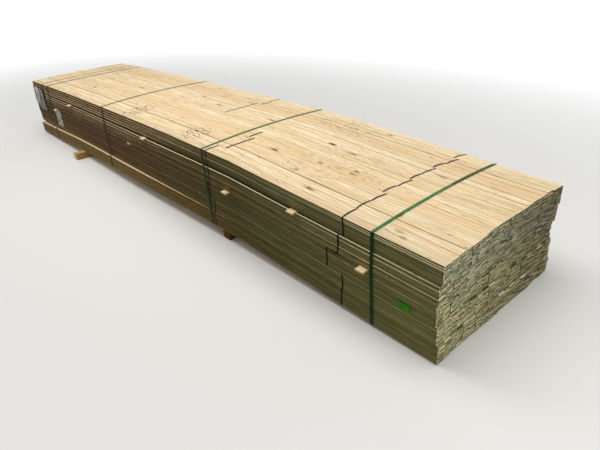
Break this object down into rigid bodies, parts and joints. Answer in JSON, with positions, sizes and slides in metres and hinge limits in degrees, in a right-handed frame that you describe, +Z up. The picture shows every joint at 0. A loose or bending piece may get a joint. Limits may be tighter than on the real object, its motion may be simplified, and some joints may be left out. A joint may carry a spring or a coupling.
{
  "type": "bundle of roof battens",
  "caption": "Long strapped pack of thin sawn roof battens, banded in tiers with spacer laths between them, lying on two low timber bearers that leave a way for lifting forks.",
  "frame": {"origin": "on the floor, under the middle of the box round everything", "axes": "+X along the battens towards the near end, the one with the lot label; +Y across the pack, away from the side where the laths stick out; +Z up"},
  "size_m": [5.1202, 1.15, 0.6143],
  "materials": {
    "batten_wood": "rough sawn pale softwood, end grain grey-green",
    "lath_wood": "clean pale softwood",
    "reddish_wood": "reddish sawn wood",
    "black_strap": "thin matt strap",
    "green_strap": "smooth half-gloss strap",
    "green_label": "bare bright green label",
    "film": "crumpled clear film"
  },
  "bodies": {
    "root": {"tier_1": "batten_wood", "tier_2": "batten_wood", "tier_3": "batten_wood", "tier_4": "batten_wood", "tier_5": "batten_wood", "spacer_lath_1": "lath_wood", "spacer_lath_2": "lath_wood", "spacer_lath_3": "lath_wood", "spacer_lath_4": "lath_wood", "spacer_lath_5": "lath_wood", "spacer_lath_6": "lath_wood", "spacer_lath_7": "lath_wood", "bundle_straps_1": "black_strap", "bundle_straps_2": "black_strap", "bundle_straps_3": "black_strap", "bundle_straps_4": "black_strap", "bundle_straps_5": "black_strap", "pack_strap_1": "green_strap", "pack_strap_2": "green_strap", "pack_strap_3": "green_strap", "pack_strap_4": "green_strap", "bearer_near": "reddish_wood", "bearer_far": "lath_wood", "lot_label": "green_label", "document_pouch": "film", "film_scrap": "film"}
  },
  "joints": []
}
